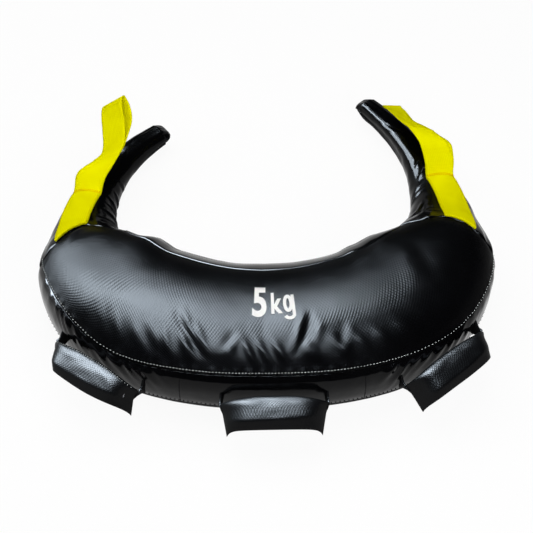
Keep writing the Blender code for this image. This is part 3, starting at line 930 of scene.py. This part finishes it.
# Heights of the laps' middles and stitches over the horn, in thicknesses of the webbing
LAP_LIFTS = (0.5, 1.62)
CROSS_STITCH_LIFT = 2.2
EDGE_STITCH_LIFT = 2.15
# How far a degree of section angle goes over the skin, at the laps' starts and for their edges
START_METRES_PER_DEGREE = 0.0011
EDGE_METRES_PER_DEGREE = 0.0015
CROSS_ROWS = (0.0045, 0.0075)
CROSS_STEPS = 12
EDGE_PITCH = 0.0031
EDGE_SHARE = 0.46
EDGE_START_GAP = 0.003
EDGE_END_GAP = 0.012
# Ribs run along the webbing 1.3 mm apart, drawn 2.5 mm apart to show, and its crossing threads
# are drawn 1.9 mm apart. A wave texture of scale 1 has a wave every pi / 10
RIBS_PER_METRE = 400.0
PICKS_PER_METRE = 520.0
WAVE_SCALE = math.pi / 10

# Woven polyester: a strong matt yellow, painted a little darker as shade in the grooves between its ribs
# and picks, and soiled a little unevenly
webbing, tree, shader = blank_finish("ribbed_polyester_webbing")
shader.inputs["Roughness"].default_value = 0.85
shader.inputs["Specular IOR Level"].default_value = 0.0
flat = add(tree, "TexCoord")
lengthways = {"Vector": flat.outputs["UV"], "Scale": RIBS_PER_METRE * WAVE_SCALE, "Distortion": 0.0}
ribs = add(tree, "TexWave", lengthways, bands_direction="Y")
picks = add(tree, "TexWave", {
    "Vector": flat.outputs["UV"],
    "Scale": PICKS_PER_METRE * WAVE_SCALE,
    "Distortion": 0.6,
    "Detail Scale": 3.0,
}, bands_direction="X")
soil = add(tree, "TexNoise", {"Vector": flat.outputs["Object"], "Scale": 45.0, "Detail": 3.0})
# Painted shade: the rib and pick waves darken the yellow in their grooves, and the soil noise adds its own
# uneven tone
mixed = add(tree, "Math", {0: ribs.outputs["Fac"], 1: picks.outputs["Fac"]}, operation="MULTIPLY")
rib_shade_and_soil = add(tree, "Math", {0: mixed.outputs[0], 1: soil.outputs["Fac"]}, operation="ADD")
halved = add(tree, "Math", {0: rib_shade_and_soil.outputs[0], 1: 0.5}, operation="MULTIPLY")
ramp = add(tree, "ValToRGB", {"Fac": halved.outputs[0]})
ramp.color_ramp.elements[0].position = 0.12
ramp.color_ramp.elements[0].color = colour("E2DA00")
ramp.color_ramp.elements[1].position = 0.62
ramp.color_ramp.elements[1].color = colour("F7F500")
woven = add(tree, "Bump", {"Height": mixed.outputs[0], "Strength": 0.6, "Distance": 0.0004})
tree.links.new(ramp.outputs[0], shader.inputs["Base Color"])
tree.links.new(woven.outputs[0], shader.inputs["Normal"])
webbing_thread = thread("yellow_polyester_thread", "D9C000")
cross_thread = thread("amber_polyester_thread", "D98A00")


def on_horn(distance, shift, lift):
    """Point this far above the skin, and this far over it sideways from the strap's line."""
    side = side_of(distance)
    share = (abs(distance) - LAP_STARTS[side]) / (CROSS_DISTANCES[side] - LAP_STARTS[side])
    angle = between(STRAP_ANGLES, share)
    point = inside(distance, angle, -lift)
    step = math.copysign(1.0, shift)
    walked = 0.0
    while walked < abs(shift):
        angle -= step
        after = inside(distance, angle, -lift)
        run = (after - point).length
        if walked + run > abs(shift):
            return point.lerp(after, (abs(shift) - walked) / run)
        walked += run
        point = after
    return point


def loop_station(side, share, leg):
    """A loop's place: its middle, and the directions across the webbing and out of its face."""
    rows = LOOP_ROWS[side]
    points = []
    for step in (-0.03, 0.0, 0.03):
        here = min(max(share + step, 0.0), 1.0)
        gone = Vector([smooth(rows, here, column) * LOOP_LENGTH for column in (1, 2, 3)])
        points.append(PIVOTS[side] + gone)
    along = (points[2] - points[0]).normalized()
    yaw = math.radians(smooth(rows, share, 4))
    roll = math.radians(smooth(rows, share, 5))
    width = Vector((math.cos(yaw) * math.cos(roll), math.sin(yaw) * math.cos(roll), math.sin(roll)))
    face = width.cross(along).normalized()
    centre = points[1] + face * leg * smooth(EYES[side], share)
    if leg < 0:
        centre = centre + width * smooth(BACK_SHIFTS[side], share)
    return centre, width, face, along


def stitch_on_lap(distance, shift, thicknesses, step_along, step_across):
    """A stitch on the upper lap: its place, the way that it runs and the way out."""
    lift = STRAP_GAP + thicknesses * WEBBING_THICKNESS
    point = on_horn(distance, shift, lift)
    after = on_horn(distance + step_along, shift + step_across, lift)
    return point, after - point, Vector((0.0, 0.0, 1.0))


for side, name in ((-1, "left"), (1, "right")):
    cross = CROSS_DISTANCES[side]
    shifts = [side * STRAP_WIDTH * (0.5 - i / (STRAP_COLUMNS - 1)) for i in range(STRAP_COLUMNS)]
    # Stations of the whole length: lower end, back leg, fold, front leg, upper end
    leg_places = [LEG_START_SHARE + LEG_RUN_SHARE * i / LEG_STEPS for i in range(LEG_STEPS + 1)]
    laps = []
    for thicknesses in LAP_LIFTS:
        rows = []
        for i in range(LAP_STEPS + 1):
            row = []
            for shift in shifts:
                edge = belly_end(side, STRAP_ANGLES[0] - shift / START_METRES_PER_DEGREE)
                start = edge + SLEEVE_GAP
                here = side * (start + (cross - LAP_END_GAP - start) * i / LAP_STEPS)
                row.append(on_horn(here, shift, STRAP_GAP + thicknesses * WEBBING_THICKNESS))
            rows.append(row)
        laps.append(rows)
    lower, upper = laps
    legs = {}
    for leg in (-1, 1):
        legs[leg] = []
        for share in leg_places:
            centre, width, face, along = loop_station(side, share, leg)
            legs[leg].append([centre + width * (side * shift) for shift in shifts])
    centre, width, face, along = loop_station(side, 1.0, 1)
    tip = centre + along * FOLD_REACH - face * smooth(EYES[side], 1.0)
    fold = [tip + width * (side * shift) for shift in shifts]
    stations = lower + legs[-1] + [fold] + legs[1][::-1] + upper[::-1]
    # How far along the middle of the webbing each station lies
    gone = [0.0]
    for before, after in zip(stations, stations[1:]):
        gone.append(gone[-1] + (after[STRAP_COLUMNS // 2] - before[STRAP_COLUMNS // 2]).length)
    tracks = []
    for column in range(STRAP_COLUMNS):
        tracks.append([(here, *station[column]) for here, station in zip(gone, stations)])
    leg_start = gone[len(lower) + len(leg_places) + 1]
    leg_end = gone[len(lower) + 2 * len(leg_places)]

    def place(along, across):
        here = gone[-1] * along
        column = min(int(round(across * (STRAP_COLUMNS - 1))), STRAP_COLUMNS - 1)
        point = Vector([smooth(tracks[column], here, axis) for axis in (1, 2, 3)])
        leg_share = (here - leg_start) / (leg_end - leg_start)
        share = leg_places[-1] - (leg_places[-1] - leg_places[0]) * leg_share
        from_crest = (share - CRESTS[side]) * LOOP_LENGTH / CREST_WIDTH
        if abs(from_crest) < 4.0:
            point += loop_station(side, share, 1)[2] * CREST_HEIGHT * math.exp(-from_crest ** 2)
        return point

    cut = (gone[-1], STRAP_WIDTH)
    piece = bent_grid(name + "_webbing_strap", 280, STRAP_COLUMNS - 1, place, cut, [webbing])
    soft = piece.modifiers.new("woven_smooth", "SUBSURF")
    soft.levels = 1
    soft.render_levels = 1
    walled(piece, WEBBING_THICKNESS, 0.0)
    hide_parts(name + "_strap_lap", name + "_strap_loop")
    run = (loop_station(side, 0.12, 1)[0] - Vector(upper[-2][STRAP_COLUMNS // 2])).normalized()
    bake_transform(piece)

    places = []
    for back_from_cross in CROSS_ROWS:
        for i in range(CROSS_STEPS + 1):
            shift = STRAP_WIDTH * (EDGE_SHARE - 2.0 * EDGE_SHARE * i / CROSS_STEPS)
            here = side * (cross - back_from_cross)
            places.append(stitch_on_lap(here, shift, CROSS_STITCH_LIFT, 0.0, LOOK_AHEAD))
    piece = stitches(name + "_cross_stitches", places, cross_thread, 0.0020, 0.00045)
    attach(piece, "bag")
    places = []
    for shift in (-EDGE_SHARE * STRAP_WIDTH, EDGE_SHARE * STRAP_WIDTH):
        base = belly_end(side, STRAP_ANGLES[0] - shift / EDGE_METRES_PER_DEGREE)
        for i in range(int((cross - EDGE_END_GAP - base) / EDGE_PITCH)):
            here = side * (base + EDGE_START_GAP + i * EDGE_PITCH)
            places.append(stitch_on_lap(here, shift, EDGE_STITCH_LIFT, side * LOOK_AHEAD, 0.0))
    piece = stitches(name + "_edge_stitches", places, webbing_thread, 0.0021, 0.0004)
    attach(piece, "bag")


# Grips: each a sleeve of the woven-grain vinyl over a foam core. Its ends are pressed flat, and
# its top corners are pinched into tabs that are sewn to the outer gusset.
GRIP_LENGTH = 0.121
GRIP_HALF_HEIGHT = 0.0195
GRIP_HALF_THICKNESS = 0.0135
GRIP_TAPER = 0.0045
FACE_FLATNESS = 0.6
# How the padding swells from the pressed ends: the powers of its fall towards them
SWELL_POWER = 6.5
FILL_POWERS = (4, 0.6)
# Lean in degrees at the middle and the ends, and height at the ends and the middle
GRIP_LEANS = (64.0, 52.0)
GRIP_HEIGHTS = (0.043, 0.060)
GRIP_END_REACH = 0.0125
# Each grip: its place along the bag, its reach out from the gusset, how far it stands off
# slanting up and forward, which leaves room for it to turn, and how far its lower corners lie
# along the grip and up from their even places, for the left and right end
GRIPS = (
    ("left", -0.157, 0.0240, 0.0172, ((0.0080, 0.0040), (0.0115, 0.0085))),
    ("centre", 0.010, 0.0225, 0.0063, ((0.0, 0.0), (0.0, 0.0))),
    ("right", 0.1705, 0.0240, 0.0200, ((-0.0035, 0.0), (0.0, 0.0045))),
)
STANDOFF_WAY = Vector((0.0, -0.64, 0.77))
# The back is this share as deep as the face, to stay clear of the gusset
BACK_FLATNESS = 0.42
# Roundness of the section across its height and its thickness
GRIP_CURVES = (3.0, 4.0)
# The filling bulges less below a soft edge across the face, given as height shares by place
FACE_EDGE_SHARES = ((-1.0, -0.45), (-0.6, -0.50), (0.0, -0.46), (0.55, -0.32), (0.85, 0.0), (1.0, 0.35))
UNDERCUT = 0.80
# How far the ends' lower corners hang down and the lower edge drops, and how far the top edge
# falls from its middle
EAR_LENGTH = 0.0040
END_SLIDE = 0.0028
TOP_ARCH = 0.0078
GRIP_PLEAT_HEIGHT = 0.0022
GRIP_PLEAT_SHARE = 0.14
GRIP_CRUMPLE = 0.0008
FOAM_GAP = 0.0027
FOAM_END_SHARE = 0.85
HEM_STITCHES = 34
HEM_END_SHARE = 0.88
HEM_ANGLE = 62.0
HEM_LIFT = 0.0002
# Each tab: where it leaves the grip, its angles there from top to bottom, its place along the
# gusset from the grip's middle, its angles there, how far its root lies inside the skin, how far
# its middle bends up at the bottom and down all over, and its doubled vinyl's thickness
TAB_SHARE = 0.985
TAB_ANGLES = (80.0, 10.0)
TAB_ROOT_LENGTH = 0.0625
TAB_ROOT_ANGLES = (9.0, -11.0)
TAB_ROOT_SINK = 0.001
TAB_SAGS = (0.004, 0.003)
TAB_THICKNESS = 0.0024

# The grips' vinyl is rubbed dull by hands, so that its faces show broad grey lights
grip_vinyl = vinyl("weave_pressed_grip_pvc", "040405", 1.03, 0.36, 0.00027, 0.0002, 0.0085)
foam = fluffy("grey_polyurethane_foam", "77797C", 0.0015, 0.0006)


def beyond(place, length):
    """Distance along the bag at which its outer side lies this far from a place, straight across."""
    start = skin(place, 0.0)
    near = place
    far = place + length
    for _ in range(30):
        middle = (near + far) / 2
        if (skin(middle, 0.0) - start).length < abs(length):
            near = middle
        else:
            far = middle
    return near


def grip_point(seat, share, turn, reach, shrink):
    """Point of a grip at this share of its half length and this turn about it.

    seat is its middle, the ways along and out, its stand-off and its corners. reach is how far
    out its middle swells, and shrink how far the point lies inside the sleeve.
    """
    middle, along, outward, standoff, corners = seat
    swell = 1.0 - abs(share) ** SWELL_POWER
    fill = max(1.0 - abs(share) ** FILL_POWERS[0], 0.0) ** FILL_POWERS[1]
    half_thickness = GRIP_HALF_THICKNESS * fill
    centre = middle + along * (share * GRIP_LENGTH / 2)
    lean = math.radians(between(GRIP_LEANS, share ** 6))
    upward = Vector((0.0, 0.0, math.cos(lean))) - outward * math.sin(lean)
    out = Vector((0.0, 0.0, math.sin(lean))) + outward * math.cos(lean)
    centre = centre + outward * between((GRIP_END_REACH, reach), swell)
    centre.z = between(GRIP_HEIGHTS, swell)
    centre = centre + STANDOFF_WAY * standoff * swell
    centre = centre + out * (GRIP_HALF_THICKNESS - half_thickness) * FACE_FLATNESS
    rise = rounded(math.sin(turn), 2.0 / GRIP_CURVES[0])
    depth = rounded(math.cos(turn), 2.0 / GRIP_CURVES[1])
    if depth > 0.0:
        edge = smooth(FACE_EDGE_SHARES, share)
        depth *= 1.0 - UNDERCUT * max((edge - rise) / (1.0 + edge), 0.0) ** 1.1
    else:
        depth *= BACK_FLATNESS
    if rise < 0:
        ear = EAR_LENGTH * share ** 14 + END_SLIDE * share ** 4
    else:
        ear = -TOP_ARCH * abs(share) ** 2.5
    corner_along, corner_up = corners[0 if share < 0 else 1]
    low = max(-rise, 0.0)
    pleat = 0.0
    if shrink == 0.0:
        near_end = math.exp(-(1.0 - abs(share)) / GRIP_PLEAT_SHARE) * fill ** 0.5
        pleat = GRIP_PLEAT_HEIGHT * near_end * math.sin(5.0 * rise + 3.0 * share + 11.0 * reach)
        crumpled = noise.noise(Vector((share * 3.0, 2.0 * rise, 2.0 * depth + 50.0 * reach)))
        pleat += GRIP_CRUMPLE * crumpled
    tall = (GRIP_HALF_HEIGHT + ear - shrink) * rise
    deep = max(half_thickness - shrink, 0.0) * depth + pleat * abs(depth) * math.copysign(1.0, depth)
    taper = along * (GRIP_TAPER * math.copysign(share ** 4, share) * rise)
    moved = along * (corner_along * share ** 4 * low) + upward * (corner_up * share ** 2 * low)
    return centre + upward * tall + out * deep + taper + moved


for name, spot, reach, standoff, corners in GRIPS:
    ends = [skin(beyond(spot, way * GRIP_LENGTH / 2), 0.0) for way in (-1, 1)]
    along = ends[1] - ends[0]
    along.z = 0.0
    along.normalize()
    outward = Vector((along.y, -along.x, 0.0))
    middle = (ends[0] + ends[1]) / 2
    middle.z = 0.0
    seat = (middle, along, outward, standoff, corners)

    def place(length_share, around):
        return grip_point(seat, 2.0 * length_share - 1.0, 2 * math.pi * around, reach, 0.0)

    cut = (GRIP_LENGTH, 0.115)
    piece = bent_grid(name + "_grip_sleeve", 72, 64, place, cut, [grip_vinyl], round_rows=True)
    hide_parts(name + "_grip_cover")
    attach(piece, name + "_grip")

    def place(length_share, around):
        share = 2.0 * FOAM_END_SHARE * length_share - FOAM_END_SHARE
        return grip_point(seat, share, 2 * math.pi * around, reach, FOAM_GAP)

    piece = closed_tube(name + "_foam_core", 30, 32, place, (0.1, 0.1), [foam])
    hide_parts(name + "_grip_foam")
    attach(piece, name + "_grip")

    places = []
    for i in range(HEM_STITCHES):
        share = -HEM_END_SHARE + 2.0 * HEM_END_SHARE * i / (HEM_STITCHES - 1)
        turn = math.radians(HEM_ANGLE)
        point = grip_point(seat, share, turn, reach, 0.0)
        after = grip_point(seat, share + 0.01, turn, reach, 0.0)
        beside = grip_point(seat, share, turn + 0.05, reach, 0.0)
        out = (after - point).cross(beside - point).normalized()
        places.append((point + out * HEM_LIFT, after - point, out))
    hem_thread = white_thread if name == "left" else black_thread
    piece = stitches(name + "_hem_stitches", places, hem_thread, 0.0019, 0.0003)
    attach(piece, name + "_grip")

    for end, way in (("left", -1), ("right", 1)):

        def place(out_share, height_share):
            turn = math.radians(between(TAB_ANGLES, height_share))
            tip = grip_point(seat, way * TAB_SHARE, turn, reach, 0.0)
            distance = beyond(spot, way * TAB_ROOT_LENGTH)
            root = skin(distance, between(TAB_ROOT_ANGLES, height_share))
            root = root + facing(distance, 0.0) * -TAB_ROOT_SINK
            sag = math.sin(math.pi * out_share) * (TAB_SAGS[0] * height_share - TAB_SAGS[1])
            return root.lerp(tip, out_share) + Vector((0.0, 0.0, sag))

        piece = bent_grid(name + "_grip_" + end + "_neck", 16, 12, place, (0.02, 0.02), [grip_vinyl])
        walled(piece, TAB_THICKNESS, 0.0)
        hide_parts(name + "_grip_" + end + "_tab")
        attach(piece, "bag")


# Weight mark: a number and its unit, screen-printed in flat white ink on the front panel. The
# print shows an even matt white that follows the panel's folds.
# Each sign: text, its left and right distances, and its lower and upper angles
MARK_SIGNS = (
    ("5", -0.0130, 0.0036, 78.5, 103.0),
    ("k", 0.0088, 0.0222, 80.8, 97.4),
)
INK_THICKNESS = 0.0004
# A sign is cut into this many strips each way, so that it bends with the panel
MARK_STRIPS = 12

ink, tree, shader = blank_finish("screen_printed_white_ink")
shader.inputs["Base Color"].default_value = colour("F4F4F2")
shader.inputs["Roughness"].default_value = 0.5
shader.inputs["Specular IOR Level"].default_value = 0.0
flat = add(tree, "TexCoord")
pits = add(tree, "TexNoise", {"Vector": flat.outputs["Object"], "Scale": 500.0, "Detail": 2.0})
print_grain = add(tree, "Bump", {"Height": pits.outputs["Fac"], "Strength": 0.3, "Distance": 0.0001})
tree.links.new(print_grain.outputs[0], shader.inputs["Normal"])
for sign, first, last, low, high in MARK_SIGNS:
    letter = bpy.data.curves.new("sign_" + sign, "FONT")
    letter.body = sign
    letter.size = 1.0
    letter.offset = 0.03
    letter.resolution_u = 6
    carrier = bpy.data.objects.new("carrier_" + sign, letter)
    bpy.context.scene.collection.objects.link(carrier)
    bpy.context.view_layer.update()
    drawn = bpy.data.meshes.new_from_object(carrier)
    bpy.data.objects.remove(carrier)
    shape = bmesh.new()
    shape.from_mesh(drawn)
    bmesh.ops.remove_doubles(shape, verts=shape.verts, dist=1e-5)
    lows = [min(v.co[k] for v in shape.verts) for k in (0, 1)]
    highs = [max(v.co[k] for v in shape.verts) for k in (0, 1)]
    for axis in (0, 1):
        for i in range(1, MARK_STRIPS):
            cut = Vector((0.0, 0.0, 0.0))
            cut[axis] = lows[axis] + (highs[axis] - lows[axis]) * i / MARK_STRIPS
            normal = Vector((0.0, 0.0, 0.0))
            normal[axis] = 1.0
            every = shape.verts[:] + shape.edges[:] + shape.faces[:]
            bmesh.ops.bisect_plane(shape, geom=every, plane_co=cut, plane_no=normal)
    shape.normal_update()
    if sum(face.normal.z for face in shape.faces) < 0:
        bmesh.ops.reverse_faces(shape, faces=shape.faces)
    for vertex in shape.verts:
        distance = first + (last - first) * (vertex.co.x - lows[0]) / (highs[0] - lows[0])
        angle = low + (high - low) * (vertex.co.y - lows[1]) / (highs[1] - lows[1])
        vertex.co = on_belly(distance, angle, INK_THICKNESS)
    for face in shape.faces:
        face.smooth = True
    piece = finished("weight_mark_" + sign, shape, [ink])
    walled(piece, INK_THICKNESS)
    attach(piece, "bag")

# The letter g is drawn as two strokes on a box of 10.9 by 22.6 units: a bowl, and a stem that
# ends in a hook
G_PLACE = (0.0228, 0.0366, 75.4, 94.8)
G_SIZE = (10.9, 22.6)
G_HALF_STROKE = 1.5
BOWL_CENTRE = (4.4, 14.7)
BOWL_HALF_SIZES = (2.95, 6.2)
BOWL_STEPS = 40
STEM = ((9.2, 22.2), (9.2, 16.0), (9.2, 10.0), (9.2, 5.5))
HOOK_CENTRE = (5.2, 5.0)
HOOK_HALF_SIZES = (4.0, 3.4)
HOOK_TURN = 0.88 * math.pi
HOOK_STEPS = 16

bowl = []
for i in range(BOWL_STEPS + 1):
    turn = 2 * math.pi * i / BOWL_STEPS
    x = BOWL_CENTRE[0] + BOWL_HALF_SIZES[0] * math.cos(turn)
    bowl.append((x, BOWL_CENTRE[1] + BOWL_HALF_SIZES[1] * math.sin(turn)))
hook = list(STEM)
for i in range(1, HOOK_STEPS + 1):
    turn = HOOK_TURN * i / HOOK_STEPS
    x = HOOK_CENTRE[0] + HOOK_HALF_SIZES[0] * math.cos(turn)
    hook.append((x, HOOK_CENTRE[1] - HOOK_HALF_SIZES[1] * math.sin(turn)))
for name, route in (("bowl", bowl), ("hook", hook)):

    def place(along, across):
        here = along * (len(route) - 1)
        i = min(int(here), len(route) - 2)
        (x0, y0), (x1, y1) = route[i], route[i + 1]
        run = Vector((x1 - x0, y1 - y0)).normalized()
        step = (across - 0.5) * 2.0 * G_HALF_STROKE
        x = x0 + (x1 - x0) * (here - i) - run.y * step
        y = y0 + (y1 - y0) * (here - i) + run.x * step
        distance = G_PLACE[0] + (G_PLACE[1] - G_PLACE[0]) * x / G_SIZE[0]
        angle = G_PLACE[2] + (G_PLACE[3] - G_PLACE[2]) * y / G_SIZE[1]
        return on_belly(distance, angle, INK_THICKNESS)

    # The bowl runs the other way round, so its faces are turned
    columns = len(route) * 2
    flip = name == "bowl"
    piece = bent_grid("weight_mark_g_" + name, columns, 4, place, (0.04, 0.004), [ink], flip=flip)
    walled(piece, INK_THICKNESS)
    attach(piece, "bag")
